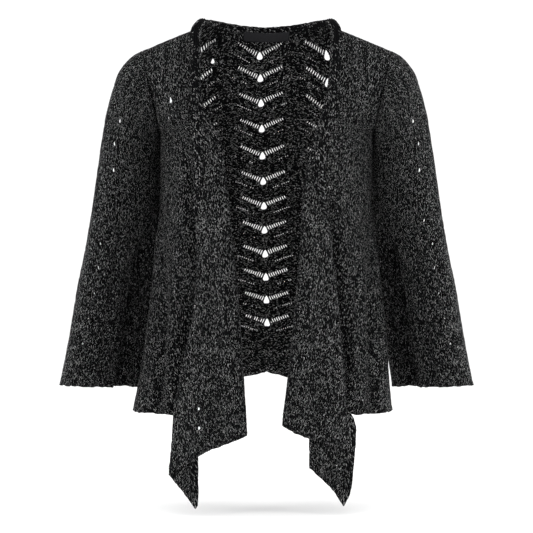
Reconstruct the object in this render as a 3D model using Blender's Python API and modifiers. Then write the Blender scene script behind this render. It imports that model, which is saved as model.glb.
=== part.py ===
"""Open-fronted waterfall cardigan in a chunky pointelle knit, hollow and filled out.

Millimetres inside, metres in the objects. +Z is up, the front faces -Y, and the origin is
where the wearer holds it: between the shoulder seams, at the base of the neck.
"""
import math

import bmesh
import bpy
import numpy as np
from mathutils import Vector
from mathutils.geometry import delaunay_2d_cdt

MM = 0.001
WALL = 2.5  # thickness of the knit
SEAM = 0.6  # clear space between sewn pieces
GUARD = 2.2  # distance of the points next to a sewn edge, which keep its wall square to the cloth
ARMHOLE_GAP = 0.9  # clear space between a sleeve and the body, whose walls meet at an angle
BAND_WIDTH = 16.0  # ribbed front band
BAND_GAP = 1.2  # clear space between a front and its band, whose walls curve
BAND_GAP_AT_FOLD = 1.15  # more of it where both turn round the outer fold
FOLD_TURN = (0.53, 0.06)  # share of the rows where they do, and half the share that it takes
ROLL_ROUND = 5.5  # cloth that turns round the roll before the band starts
NECKBAND_HEIGHT = 12.0
ROWS = 160  # rows that each surface is worked out on
SPLINE_STEPS = 6
COLLAR_SHARE = 0.035  # share of the rows over which the band stands up at the shoulder

# Size of the triangles that each kind of panel is made of, and the rows shaped at the shoulder
BACK_SPACING, FRONT_SPACING, SLEEVE_SPACING, BAND_SPACING = 27.0, 24.0, 28.0, 8.0
BACK_ROWS, FRONT_ROWS, SLEEVE_ROWS = 22, 25, 16
SHOULDER_ROWS = (0.0006, 0.006, 0.016, 0.028)
SLEEVE_TOP_ROWS = (0.012, 0.03, 0.045)
FINE_ROW = 0.0125  # share of the rows between those that shape a turned edge
# lengths beside the roll and beside the outer fold at which the bend is shaped
ROLL_STRANDS = (-14, -7, 0, 7, 14)
FOLD_STRANDS = (-8, -3.5, 0, 3.5, 7, 12)

# Armhole: an upright oval on each side of the body.
ARMHOLE_SHARE = 0.26  # share of the body's rows that lie beside it
ARMHOLE_DEPTH = 52.0
ARMHOLE_MIDDLE = -103.5
ARMHOLE_HALF_HEIGHT = 61.5
ARMHOLE_OUT = 172.3
ARMHOLE_SLANT = 13.7
SIDE_HEM = -579.0

# Neck and shoulder line.
NECK_OUT = 90.0
NECK_TOP = -2.0
NECK_BACK = 64.0
NECK_DROP = 9.0
SHOULDER_ROUND = 0.11  # share of the rows over which the shoulder rounds over
BACK_HEM = -527.0

# Pointelle: one large hole at the foot of every chevron.
REPEAT_ACROSS = 105.0
REPEAT_DOWN = 38.0
HOLE_WIDE = 8.6
HOLE_TALL = 11.0
NEAR_HOLE = 0.95  # share of a hole's size round its middle that takes no point of the panel
HEM_CLEAR = 30.0
FOLD_CLEAR = 20.0
BACK_CLEAR, FRONT_CLEAR, SLEEVE_CLEAR = 22.0, 16.0, 14.0  # cloth kept between a hole and a sewn edge
FRONT_FIRST_COURSE, SLEEVE_FIRST_COURSE = 60.0, 58.0
# (course, distance below the neck edge) of the chevrons down the middle of the back
BACK_COURSES = ((0, 28.7), (1, 61.3), (3, 138.3), (4, 180.2), (8, 332.5), (11, 439.0))
BACK_CENTRE = (-11.3, 3.0)  # place of the middle chevrons at the neck and at the hem
FRONT_CENTRE = {"right": (-60.0, -21.0), "left": (-60.0, -25.0)}

# (height, distance from the centre line) down each side seam
SIDE = {
    "right": ((-175, 159), (-264, 157.5), (-354, 166.5), (-459, 178.5), (-541, 192), (-579, 199.5)),
    "left": ((-175, 159), (-264, 156), (-354, 165), (-459, 177), (-541, 184), (-579, 187.5)),
}
# (height, distance behind the centre plane) down the middle of the back
BACK_DEPTH = (
    (-527, 108), (-459, 99), (-354, 96), (-250, 104), (-165, 103), (-120, 98), (-60, 84), (-11, 64),
)
# (height, distance in front of the centre plane) down the opening edge
FRONT_DEPTH = (
    (-620, 118), (-500, 113), (-354, 108), (-250, 105), (-165, 96), (-100, 79),
    (-60, 63), (-30, 45), (-14, 30), (-6, 18), (-2.3, 6), (-2, 0.2),
)
# (height, distance from the centre line) down the roll where each front turns back
ROLL = {
    "right": (
        (-2, 90), (-15, 97), (-60, 97), (-121, 94.7), (-143, 88), (-172, 71), (-181, 66),
        (-239, 57.6), (-326, 48.8), (-412, 40.2), (-512, 33), (-606, 27),
    ),
    "left": (
        (-2, 90), (-15, 96), (-60, 94), (-121, 86), (-181, 68), (-254, 53.3), (-326, 48.8),
        (-455, 37.3), (-512, 31.6), (-592, 21.5),
    ),
}
# (height, distance from the centre line) down the outer fold of each flap
FOLD = {
    "right": (
        (-2, 106), (-15, 111), (-121, 109.3), (-235, 106.6), (-355, 101), (-426, 105),
        (-484, 117.7), (-534, 127.7), (-566, 134.2), (-627, 138.5), (-665, 142.8),
    ),
    "left": (
        (-2, 106), (-29, 111), (-121, 100.6), (-167, 91), (-268, 85), (-340, 94.8),
        (-412, 103.3), (-556, 113.8), (-600, 121), (-630, 122.4),
    ),
}
# (height, distance of the flap in front of the body part of the same front)
FLAP_GAP = ((-620, 24.5), (-500, 22.5), (-412, 19.5), (-268, 13.5), (-167, 9.5), (-100, 8), (-2, 7.5))
# (height of the roll, length of cloth past the outer fold)
PAST_FOLD = {
    "right": (
        (-2, -1), (-230, -1), (-262, 6), (-290, 18), (-355, 25), (-426, 33), (-484, 42), (-530, 80),
    ),
    "left": (
        (-2, -1), (-230, -1), (-262, 6), (-290, 18), (-340, 30), (-412, 52), (-470, 110), (-500, 190),
    ),
}
# shares of the rows where the free edge turns round a fold, so that the cloth is shaped finely there
CROSSING = {"right": ((0.37, 0.6),), "left": ((0.37, 0.6), (0.68, 0.84))}
HEM_AT_ROLL = {"right": -606.0, "left": -592.0}
# How far the hem falls below its height at the roll: (place along the flap, fall)
FLAP_FALL = {
    "right": ((0.25, 13), (0.5, 21.5), (0.75, 42), (1, 59)),
    "left": ((0.25, 14.6), (0.5, 22.4), (0.75, 30.3), (1, 38)),
}
# Layers tucked behind the flap: (distance out at the hem, fall, layer), layer 1 next to the flap
TUCK = {
    "right": ((120, 82, 1), (98.5, 107, 1)),
    "left": ((92, 49, 1), (60.5, 61, 1), (60.5, 61, 2), (92, 88, 2), (116, 118, 1.6)),
}
LAYER = 7.5  # depth from one layer to the next
# (height of the roll, distance of the free edge from the centre line, when it hangs behind the flap)
FREE_EDGE = {
    "right": ((-606, 102.5), (-601, 99), (-596, 98.5), (-2, 98.5)),
    "left": (
        (-592, 111), (-580, 120.5), (-562, 125), (-533, 128.5), (-515, 130), (-503, 127), (-488, 110),
        (-478, 103), (-412, 98), (-340, 90), (-268, 80), (-167, 85), (-2, 100),
    ),
}
# (out, up) from the base of the neck: how the band stands and rolls over at the shoulder
COLLAR_ROLL = ((-1.5, 3.5), (0.5, 8), (7, 9.5), (14, 6))
COLLAR_AHEAD = 2.4

# Sleeve: (share of its length, out, height) of its outer line and of its inner line
SLEEVE_OUTER = (
    (0, 186.5, -42), (0.017, 195, -46.5), (0.037, 204, -52.5), (0.095, 222, -76.5), (0.136, 229, -97),
    (0.178, 235, -118), (0.22, 240, -139), (0.38, 253, -222), (0.502, 262, -285), (0.625, 273, -348),
    (0.707, 282, -390), (0.87, 296, -474), (1, 309, -541),
)
SLEEVE_INNER = (
    (0, 163, -165.5), (0.15, 158.2, -206), (0.4, 159.6, -292), (0.7, 173.6, -418), (1, 192.5, -546),
)
SLEEVE_BEHIND = 38.0  # how far behind the side seam its inner line hangs
SLEEVE_BEHIND_FROM = 0.22  # share of its length by which it does
SLEEVE_TUCK = 26.0  # depth that the inner part of its front falls back to, beside the body
SLEEVE_TUCK_ROWS = (0.36, 0.66)  # shares of its length between which the tuck deepens
SLEEVE_TUCK_TURN = (84.0, 126.0)  # degrees round from the outer line between which it falls back
SLEEVE_TUCK_END = 58.0  # degrees before the inner line over which the tuck ends
CUFF_BEHIND = 6.0  # how far the cuff hangs behind the shoulder
# (share of its length, half of its depth)
SLEEVE_DEPTH = ((0, 52.5), (0.2, 55), (0.6, 57), (1, 61))

LABEL_HALF = 35.0
LABEL_TALL = 13.5
LABEL_ABOVE = 4.0  # height of its top edge over the neck edge
LABEL_LEAN = {"above": 0.25, "below": 0.33}  # how it follows the cloth behind it
LABEL_WALL = 0.8
LABEL_CLEAR = 1.4

NECKBAND_ENDS = 2.5  # degrees left open at each end, next to the front bands
NECKBAND_OUT = (1.0, 4.5)  # how far its ends lean and roll outwards
NECKBAND_IN = 3.0  # how far its middle leans inwards
NECKBAND_UP = 1.3  # clear space over the panel
NECKBAND_LOW = 0.42  # share of its height that its ends lose

# (place, size) of soft folds: centre, half width, lift at the hem, share of the rows where it starts
FRONT_FOLDS = {
    "right": ((-186, 20, 7, 0.3), (-140, 17, -6, 0.35), (-108, 12, 4, 0.55)),
    "left": ((-172, 19, 6, 0.32), (-132, 15, -6, 0.4), (-104, 12, 5, 0.5)),
}
BACK_FOLDS = (
    (-128, 24, 7, 0.45), (-84, 20, -5, 0.5), (-46, 18, 5, 0.6), (4, 22, -6, 0.66), (52, 19, 5, 0.5),
    (92, 22, -6, 0.55), (134, 21, 6, 0.42),
)
SLEEVE_FOLDS = (
    (-150, 22, 5, 0.35), (-104, 18, -5, 0.45), (-58, 20, 4, 0.3), (-12, 16, -3, 0.6),
    (40, 22, 5, 0.5), (86, 18, -4, 0.4), (132, 20, 5, 0.55),
)

OUTWARD = {"right": -1.0, "left": 1.0}  # the wearer's right lies at -X


def along(table, at):
    """Monotone cubic curve through (place, value) rows."""
    rows = np.array(table, float)
    rows = rows[np.argsort(rows[:, 0])]
    place, value = rows[:, 0], rows[:, 1]
    step = np.diff(place)
    slope = np.diff(value) / step
    lean = np.zeros(len(place))
    both = slope[:-1] * slope[1:]
    lean[1:-1] = np.where(both > 0, 2 * both / np.where(both > 0, slope[:-1] + slope[1:], 1), 0)
    lean[0], lean[-1] = slope[0], slope[-1]
    at = np.clip(at, place[0], place[-1])
    k = np.clip(np.searchsorted(place, at, side="right") - 1, 0, len(step) - 1)
    t = (at - place[k]) / step[k]
    return (
        value[k] * (1 + 2 * t) * (1 - t) ** 2
        + value[k + 1] * t * t * (3 - 2 * t)
        + lean[k] * step[k] * t * (1 - t) ** 2
        - lean[k + 1] * step[k] * t * t * (1 - t)
    )


def smooth(value, low, high):
    """Soft step from 0 at the low value to 1 at the high one."""
    share = np.clip((value - low) / (high - low), 0, 1)
    return share * share * (3 - 2 * share)


def side_seam(side, row):
    """Edge that the front and back share: out, half depth and height at a share of the rows."""
    if row < ARMHOLE_SHARE:
        turn = math.pi * row / ARMHOLE_SHARE
        return (
            ARMHOLE_OUT + ARMHOLE_SLANT * math.cos(turn),
            ARMHOLE_DEPTH * math.sin(turn),
            ARMHOLE_MIDDLE + ARMHOLE_HALF_HEIGHT * math.cos(turn),
        )
    low = ARMHOLE_MIDDLE - ARMHOLE_HALF_HEIGHT
    height = low + (SIDE_HEM - low) * (row - ARMHOLE_SHARE) / (1 - ARMHOLE_SHARE)
    return float(along(SIDE[side], height)), 0.0, height


def side_turn(row):
    """Power that makes a row meet a side seam at a right angle, and an armhole at a slant."""
    return 1.0 + max(0.0, 1.0 - row / (ARMHOLE_SHARE * 1.05)) ** 0.6


def spline(controls):
    """Points of the uniform cubic B-spline of a control polygon, from its first to its last point."""
    c = np.vstack([2 * controls[0] - controls[1], controls, 2 * controls[-1] - controls[-2]])
    t = np.linspace(0, 1, SPLINE_STEPS, endpoint=False)[:, None, None]
    a, b, d, e = c[:-3], c[1:-2], c[2:-1], c[3:]
    curve = (
        (1 - t) ** 3 * a + (3 * t**3 - 6 * t**2 + 4) * b
        + (-3 * t**3 + 3 * t**2 + 3 * t + 1) * d + t**3 * e
    ) / 6
    return np.vstack([curve.transpose(1, 0, 2).reshape(-1, 3), controls[-1]])


def lengths(points):
    """Distance from the first point to each point of a path."""
    return np.concatenate([[0], np.cumsum(np.linalg.norm(np.diff(points, axis=0), axis=1))])


def lifted(surface, folds):
    """Adds soft folds along a surface: each rises from nothing to its lift at the hem."""
    for row, points in enumerate(surface["points"]):
        share = row / ROWS
        arc = surface["arc"][row]
        lift = np.zeros(len(arc))
        for middle, half, height, start in folds:
            grow = max(0.0, (share - start) / (1 - start)) ** 1.3
            lift += height * grow * np.exp(-(((arc - middle) / half) ** 2))
        tangent = np.gradient(points[:, :2], axis=0)
        normal = np.stack([tangent[:, 1], -tangent[:, 0]], 1)
        normal /= np.maximum(np.linalg.norm(normal, axis=1), 1e-9)[:, None]
        ends = np.minimum(1, np.minimum(arc - arc[0], arc[-1] - arc) / 40.0)
        points[:, :2] += normal * (lift * ends * surface["facing"])[:, None]
    return surface


def front_surface(side):
    """Front panel with its roll, flap and tucked layers. Lengths run from the roll, towards the flap."""
    points, arcs, ends, bends, deep_bends = [], [], [], [], []
    fall = np.array([(0, 0)] + list(FLAP_FALL[side]), float)
    for step in range(ROWS + 1):
        row = step / ROWS
        out, half, height = side_seam(side, row)
        roll_z = NECK_TOP + (HEM_AT_ROLL[side] - NECK_TOP) * row
        roll_x = along(ROLL[side], roll_z)
        depth = -along(FRONT_DEPTH, roll_z)
        gap = along(FLAP_GAP, roll_z)
        power = side_turn(row)
        drop = row**2.2
        turn = np.radians(np.linspace(90, 0, 11))
        share = 1 - np.sin(turn)
        body = np.stack([
            roll_x + (out - roll_x) * np.sin(turn),
            -half - SEAM / 2 + (depth + half + SEAM / 2) * np.cos(turn) ** power,
            height + (roll_z - height) * share ** (1 + 1.5 * row),
        ], 1)

        def depth_at(x):
            sine = np.clip((x - roll_x) / (out - roll_x), 0, 1)
            return -half + (depth + half) * (1 - sine**2) ** (power / 2)

        fold_x = along(FOLD[side], roll_z - fall[-1, 1] * drop)
        flap = []
        for place, low in fall:
            x = roll_x + (fold_x - roll_x) * place
            flap.append((x, depth_at(x) - gap, roll_z - low * drop))
        tucked = [(fold_x, depth_at(fold_x) - gap + LAYER, roll_z - fall[-1, 1] * drop)]
        for x, low, layer in TUCK[side]:
            if x > fold_x:
                x += fold_x - along(FOLD[side], HEM_AT_ROLL[side] - fall[-1, 1])
            if low == TUCK[side][-1][1]:
                x = along(FREE_EDGE[side], roll_z)
            tucked.append((x, depth_at(x) - gap + LAYER * layer, roll_z - low * drop))
        upper = np.array(flap + tucked)
        stand = max(0.0, 1 - row / COLLAR_SHARE) ** 2
        past = np.arange(len(upper) - len(COLLAR_ROLL)) + 1.0
        lean = np.array(COLLAR_ROLL + tuple((14 + 3 * k, 4 - 4 * k) for k in past))
        ahead = np.full(len(upper), depth - COLLAR_AHEAD)
        upright = np.stack([roll_x + lean[:, 0], ahead, roll_z + lean[:, 1]], 1)
        upper = upper * (1 - stand) + upright * stand
        path = spline(np.vstack([body, upper]))
        arc = lengths(path)
        roll_at = arc[int((len(body) - 0.5) * SPLINE_STEPS)]
        fold_at = arc[int((len(body) + len(flap) - 1) * SPLINE_STEPS)]
        end = min(fold_at + along(PAST_FOLD[side], roll_z), arc[-1]) - roll_at
        shortest = BAND_WIDTH + ROLL_ROUND
        end = max(end, shortest) if row > COLLAR_SHARE else shortest
        points.append(path)
        arcs.append(arc - roll_at)
        ends.append(end)
        bends.append(fold_at - roll_at)
        deep_bends.append(arc[(len(body) + len(flap) + 2) * SPLINE_STEPS] - roll_at)
    surface = {"points": points, "arc": arcs, "facing": -1.0}
    surface["bends"] = [np.zeros(ROWS + 1), np.array(bends), np.array(deep_bends)]
    lifted(surface, FRONT_FOLDS[side])
    surface["first"] = np.array([a[0] for a in arcs])
    surface["last"] = np.array(ends)
    for path in points:
        path[:, 0] *= OUTWARD[side]
    surface["tall"] = 612.0
    return surface


def neck_curve(x):
    """Depth and height of the back neck edge."""
    inner = np.clip(1 - (x / NECK_OUT) ** 2, 0, 1)
    return NECK_BACK * inner**0.75, NECK_TOP - NECK_DROP * inner


def back_surface():
    """Back panel. Lengths run from its centre line, towards the wearer's left."""
    points, arcs = [], []
    for step in range(ROWS + 1):
        row = step / ROWS
        middle = NECK_TOP - NECK_DROP + (BACK_HEM - NECK_TOP + NECK_DROP) * row
        depth = along(BACK_DEPTH, middle)
        power = side_turn(row)
        turn = np.radians(np.linspace(-90, 90, 81))
        path = []
        for side, part in (("right", turn[:41]), ("left", turn[41:])):
            out, half, height = side_seam(side, row)
            share = 1 - np.abs(np.sin(part))
            path.append(np.stack([
                out * np.sin(part),
                half + SEAM / 2 + (depth - half - SEAM / 2) * np.cos(part) ** power,
                height + (middle - height) * share ** (1 - 0.45 * (1 - row)),
            ], 1))
        path = np.vstack(path)
        if step == 0:
            x = path[:, 0]
            y, z = neck_curve(x)
            line = NECK_TOP + (side_seam("left", 0)[2] - NECK_TOP) * (np.abs(x) - NECK_OUT) / (
                side_seam("left", 0)[0] - NECK_OUT
            )
            top = np.stack([x, np.maximum(y, SEAM / 2), np.where(np.abs(x) > NECK_OUT, line, z)], 1)
            change = top - path
        close = max(0.0, 1 - row / SHOULDER_ROUND)
        path[:, 1] += change[:, 1] * (1 - math.sqrt(1 - close**2))
        path[:, 2] += change[:, 2] * close**2
        arc = lengths(path)
        points.append(path)
        arcs.append(arc - arc[40])
    surface = {"points": points, "arc": arcs, "facing": -1.0}
    lifted(surface, BACK_FOLDS)
    surface["first"] = np.array([a[0] for a in arcs])
    surface["last"] = np.array([a[-1] for a in arcs])
    surface["tall"] = 516.0
    return surface


def sleeve_surface(side):
    """Sleeve tube. Lengths run round it from its outer line, towards the back."""
    outer = np.array(SLEEVE_OUTER)
    inner = np.array(SLEEVE_INNER)
    points, arcs = [], []
    turn = np.linspace(-math.pi, math.pi, 97)
    for step in range(ROWS + 1):
        t = step / ROWS
        top = np.array([along(outer[:, [0, 1]], t), 0, along(outer[:, [0, 2]], t)])
        low = np.array([along(inner[:, [0, 1]], t), 0, along(inner[:, [0, 2]], t)])
        deep = np.array([0, along(SLEEVE_DEPTH, t), 0])
        ring = (
            (top + low) / 2
            + np.cos(turn)[:, None] * (top - low) / 2
            + np.sin(turn)[:, None] * deep
            + np.array([0, CUFF_BEHIND * t, 0])
        )
        behind = SLEEVE_BEHIND * min(1.0, t / SLEEVE_BEHIND_FROM)
        ring[:, 1] += behind * (1 - np.cos(turn)) / 2
        round_front = np.degrees(-turn)
        tucked = smooth(t, *SLEEVE_TUCK_ROWS) * smooth(round_front, *SLEEVE_TUCK_TURN)
        tucked *= smooth(180.0 - round_front, 0.0, SLEEVE_TUCK_END)
        ring[:, 1] += (SLEEVE_TUCK - ring[:, 1]) * tucked
        ring[:, 0] += ARMHOLE_GAP * (1 - t)
        arc = lengths(ring)
        points.append(ring)
        arcs.append(arc - arc[48])
    surface = {"points": points, "arc": arcs, "facing": -1.0}
    for start, end in ((0, 49), (48, 97)):
        half_points = [ring[start:end] for ring in points]
        half_arcs = [arc[start:end] for arc in arcs]
        lifted({"points": half_points, "arc": half_arcs, "facing": -1.0}, SLEEVE_FOLDS)
    surface["first"] = np.array([a[0] for a in arcs])
    surface["last"] = np.array([a[-1] for a in arcs])
    for ring in points:
        ring[:, 0] *= OUTWARD[side]
    surface["tall"] = 500.0
    return surface


def place(surface, across, row):
    """Points of a surface at lengths along its rows and at shares of its rows."""
    across, row = np.asarray(across, float), np.asarray(row, float)
    at = np.clip(row, 0, 1) * ROWS
    low = np.minimum(at.astype(int), ROWS - 1)
    result = np.zeros((len(across), 3))
    for k in np.unique(low):
        here = low == k
        for end, weight in ((k, 1 - (at[here] - k)), (k + 1, at[here] - k)):
            arc, path = surface["arc"][end], surface["points"][end]
            for axis in range(3):
                result[here, axis] += weight * np.interp(across[here], arc, path[:, axis])
    return result


def edge(values, row):
    """Place of an edge, given at every row, at shares of the rows."""
    return np.interp(np.asarray(row, float) * ROWS, np.arange(ROWS + 1), values)


def diamond(across, down, wide, tall, rows_tall):
    """A hole shaped like a kite, widest below its middle."""
    shape = ((0, -0.5), (-0.46, 0.12), (0, 0.5), (0.46, 0.12))
    return [(across + dx * wide, down + dy * tall / rows_tall) for dx, dy in shape]


def cut_sheet(surface, first, last, rows, spacing, holes, folds=(), corners=(), fine=()):
    """Flat triangulation of a panel, placed on its surface: vertices and faces."""
    tall = surface["tall"]
    flat, links = [], []

    def chain(points):
        start = len(flat)
        flat.extend(points)
        return list(range(start, len(flat)))

    left, right = edge(first, rows), edge(last, rows)

    def ticks(a, b):
        return np.linspace(a, b, max(2, round((b - a) / spacing) + 1))

    top = sorted(set(ticks(left[0], right[0])) | set(corners))
    top = [u for u in top if u in corners or all(abs(u - c) > 0.4 * spacing for c in corners)]
    top = [(u, 0.0) for u in top]
    bottom = [(u, 1.0) for u in ticks(left[-1], right[-1])][::-1]
    ring = chain(
        top + list(zip(right[1:-1], rows[1:-1])) + bottom + list(zip(left[1:-1], rows[1:-1]))[::-1]
    )
    links += list(zip(ring, ring[1:] + ring[:1]))
    for hole in holes:
        loop = chain(hole)
        links += list(zip(loop, loop[1:] + loop[:1]))
    middles = np.array([np.mean(h, axis=0) for h in holes]) if holes else np.zeros((0, 2))
    strands = [(line, side, start) for line, sides, start in folds for side in sides]
    before = {}
    for k, row in enumerate(rows[1:-1], 1):
        a, b = left[k], right[k]
        marks, at_strand = [], {}
        for strand, (line, side, start) in enumerate(strands):
            u = edge(line, row) + side
            if row >= start and a + 2 * GUARD < u < b - 2 * GUARD:
                marks.append(u)
                at_strand[strand] = len(flat)
                if strand in before:
                    links.append((before[strand], len(flat)))
                flat.append((u, row))
        before = at_strand
        if b - a > 3 * GUARD:
            marks += [a + GUARD, b - GUARD]
            flat += [(a + GUARD, row), (b - GUARD, row)]
        count = int((b - a) / spacing)
        grid = np.arange(math.ceil(a / spacing), b / spacing) * spacing if count else []
        own = [u for u in grid if a < u < b]
        own = [u for u in own if all(abs(u - m) > 0.35 * spacing for m in marks)]
        for u in own if not any(abs(row - f) < 1e-9 for f in fine) else ():
            if len(middles):
                off = (middles[:, 1] - row) * tall / HOLE_TALL
                if np.hypot((middles[:, 0] - u) / HOLE_WIDE, off).min() < NEAR_HOLE:
                    continue
            flat.append((u, row))
    plane = [Vector((u, r * tall)) for u, r in flat]
    verts, _, faces, _, _, _ = delaunay_2d_cdt(plane, links, [], 0, 1e-6)
    across = np.array([v[0] for v in verts])
    row = np.array([v[1] for v in verts]) / tall
    kept = []
    for face in faces:
        u, r = across[face].mean(), row[face].mean()
        if not edge(first, r) - 1e-6 < u < edge(last, r) + 1e-6:
            continue
        if any(inside(u, r, hole) for hole in near_holes(holes, middles, u, r, tall)):
            continue
        kept.append(face)
    return place(surface, across, row), kept


def near_holes(holes, middles, u, r, tall):
    """Holes whose middle lies near a point."""
    if not len(middles):
        return []
    close = (abs(middles[:, 0] - u) < HOLE_WIDE) & (abs(middles[:, 1] - r) * tall < HOLE_TALL)
    return [holes[k] for k in np.flatnonzero(close)]


def inside(u, r, corners):
    """Whether a point lies within a closed outline."""
    found = False
    for (ua, ra), (ub, rb) in zip(corners, corners[1:] + corners[:1]):
        if (ra > r) != (rb > r) and u < (ub - ua) * (r - ra) / (rb - ra) + ua:
            found = not found
    return found


def lace(surface, first, last, centre, courses, clear, avoid=()):
    """Hole corners for every chevron foot that lies clear of a panel's edges and folds."""
    tall = surface["tall"]
    holes = []
    for k in range(-4, 5):
        for down in courses:
            row = down / tall
            across = centre[0] + (centre[1] - centre[0]) * row + k * REPEAT_ACROSS
            if row > 1 - HEM_CLEAR / tall:
                continue
            if any(abs(across - edge(line, row)) < FOLD_CLEAR for line in avoid):
                continue
            if edge(first, row) + clear < across < edge(last, row) - clear:
                holes.append(diamond(across, row, HOLE_WIDE, HOLE_TALL, tall))
    return holes


def patch(points):
    """Vertices and faces of a grid of points: rows, columns, 3."""
    rows, columns = points.shape[:2]
    at = np.arange(rows * columns).reshape(rows, columns)
    corners = (at[:-1, :-1], at[:-1, 1:], at[1:, 1:], at[1:, :-1])
    return points.reshape(-1, 3), np.stack(corners, -1).reshape(-1, 4).tolist()


def neckband():
    """Band that stands along the back neck edge and rolls a little outwards at its two ends."""
    turn = np.radians(np.linspace(NECKBAND_ENDS, 180 - NECKBAND_ENDS, 34))
    x = NECK_OUT * np.cos(turn)
    y, z = neck_curve(x)
    rise = np.linspace(0, 1, 4)[:, None]
    lean_out = np.cos(turn) ** 3 * (NECKBAND_OUT[0] * rise + NECKBAND_OUT[1] * rise**2.5)
    lean_in = NECKBAND_IN * np.sin(turn) ** 2 * rise
    up = NECKBAND_UP + NECKBAND_HEIGHT * rise * (1 - NECKBAND_LOW * np.abs(np.cos(turn)) ** 12)
    return patch(np.stack([x + lean_out, SEAM + y - lean_in, z + up], -1))


def label():
    """Plain woven label, inside the back neck."""
    x = np.linspace(-LABEL_HALF, LABEL_HALF, 9)
    y, z = neck_curve(x)
    below = np.linspace(-LABEL_ABOVE, LABEL_TALL - LABEL_ABOVE, 5)[:, None]
    behind = np.where(below > 0, LABEL_LEAN["below"], LABEL_LEAN["above"]) * below
    inwards = WALL / 2 + LABEL_WALL / 2 + LABEL_CLEAR
    return patch(np.stack([x + 0 * below, y + behind - inwards, z - below], -1))


def add_object(name, verts, faces, thickness, material, collection):
    """One sewn piece: an open surface with a wall of even thickness on both sides of it."""
    mesh = bpy.data.meshes.new(name)
    mesh.from_pydata([tuple(p) for p in verts * MM], [], [tuple(f) for f in faces])
    bm = bmesh.new()
    bm.from_mesh(mesh)
    bmesh.ops.delete(bm, geom=[v for v in bm.verts if not v.link_faces], context="VERTS")
    bmesh.ops.recalc_face_normals(bm, faces=bm.faces)
    bm.to_mesh(mesh)
    bm.free()
    for polygon in mesh.polygons:
        polygon.use_smooth = True
    mesh.materials.append(material)
    made = bpy.data.objects.new(name, mesh)
    collection.objects.link(made)
    wall = made.modifiers.new("wall", "SOLIDIFY")
    wall.thickness = thickness * MM
    wall.offset = 0.0
    return made


def cloth_material(name, colour, roughness):
    made = bpy.data.materials.new(name)
    made.use_nodes = True
    shader = made.node_tree.nodes["Principled BSDF"]
    shader.inputs["Base Color"].default_value = (*colour, 1.0)
    shader.inputs["Roughness"].default_value = roughness
    return made


def spaced_rows(count, extra):
    """Even shares of the rows, with some of its own."""
    return np.array(sorted(set(extra) | set(np.linspace(0, 1, count + 1).round(5))))


def build():
    """Makes every piece of the cardigan."""
    for old in list(bpy.data.objects):
        bpy.data.objects.remove(old, do_unlink=True)
    collection = bpy.data.collections.new("cardigan")
    bpy.context.scene.collection.children.link(collection)
    knit = (0.02, 0.02, 0.022)
    satin = (0.01, 0.01, 0.011)

    def add(name, verts, faces, thickness=WALL, colour=knit, roughness=0.8):
        material = cloth_material(name, colour, roughness)
        add_object(name, verts, faces, thickness, material, collection)

    back = back_surface()
    edges = (back["first"], back["last"])
    rows = spaced_rows(BACK_ROWS, SHOULDER_ROWS)
    courses = [float(along(BACK_COURSES, course)) for course in range(BACK_COURSES[-1][0] + 1)]
    holes = lace(back, *edges, BACK_CENTRE, courses, BACK_CLEAR)
    top, top_arc = back["points"][0][:, 0], back["arc"][0]
    corners = [float(np.interp(x, top, top_arc)) for x in (-NECK_OUT, NECK_OUT)]
    add("back_panel", *cut_sheet(back, *edges, rows, BACK_SPACING, holes, (), corners))
    add("neckband_back", *neckband())
    add("neck_label", *label(), LABEL_WALL, satin, 0.35)

    for side in ("right", "left"):
        front = front_surface(side)
        finer = [r for a, b in CROSSING[side] for r in np.arange(a, b, FINE_ROW).round(5)]
        fine = tuple(r for r in finer if r % (1 / FRONT_ROWS) > FINE_ROW / 2)
        rows = spaced_rows(FRONT_ROWS, SHOULDER_ROWS + fine)
        band_start = front["last"] - BAND_WIDTH
        turning = np.exp(-(((np.linspace(0, 1, ROWS + 1) - FOLD_TURN[0]) / FOLD_TURN[1]) ** 2))
        cloth_end = band_start - BAND_GAP - BAND_GAP_AT_FOLD * turning
        folds = [(front["bends"][0], ROLL_STRANDS, 0.04), (front["bends"][1], FOLD_STRANDS, 0.35)]
        if side == "left":
            folds.append((front["bends"][2], FOLD_STRANDS, 0.6))
        avoid = [line for line, _, _ in folds]
        courses = np.arange(FRONT_FIRST_COURSE, front["tall"], REPEAT_DOWN)
        edges = (front["first"], cloth_end)
        holes = lace(front, *edges, FRONT_CENTRE[side], courses, FRONT_CLEAR, avoid)
        add("front_" + side, *cut_sheet(front, *edges, rows, FRONT_SPACING, holes, folds, (), fine))
        edges = (band_start, front["last"])
        band_folds = [(line, strands[1:5], start) for line, strands, start in folds[1:]]
        add("front_band_" + side, *cut_sheet(front, *edges, rows, BAND_SPACING, [], band_folds))

        sleeve = sleeve_surface(side)
        rows = spaced_rows(SLEEVE_ROWS, SLEEVE_TOP_ROWS)
        inset = np.full(ROWS + 1, SEAM * 0.7)
        halves = {"front": (sleeve["first"] + inset, -inset), "back": (inset, sleeve["last"] - inset)}
        for half, edges in halves.items():
            courses = np.arange(SLEEVE_FIRST_COURSE, sleeve["tall"], REPEAT_DOWN)
            holes = lace(sleeve, *edges, (REPEAT_ACROSS / 2,) * 2, courses, SLEEVE_CLEAR)
            add("sleeve_" + side + "_" + half, *cut_sheet(sleeve, *edges, rows, SLEEVE_SPACING, holes))


build()
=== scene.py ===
"""Looks of the open-fronted cardigan: a chunky black knit with a silver thread, chevron lace and ribbed bands.

Sizes are in millimetres up to make_piece, which turns them into metres. The wearer's left is at +X, the front
at -Y, and heights are taken from the base of the neck, so most are negative.
"""

import math

import bmesh
import bpy
import numpy as np
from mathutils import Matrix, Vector
from mathutils.geometry import delaunay_2d_cdt


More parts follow.
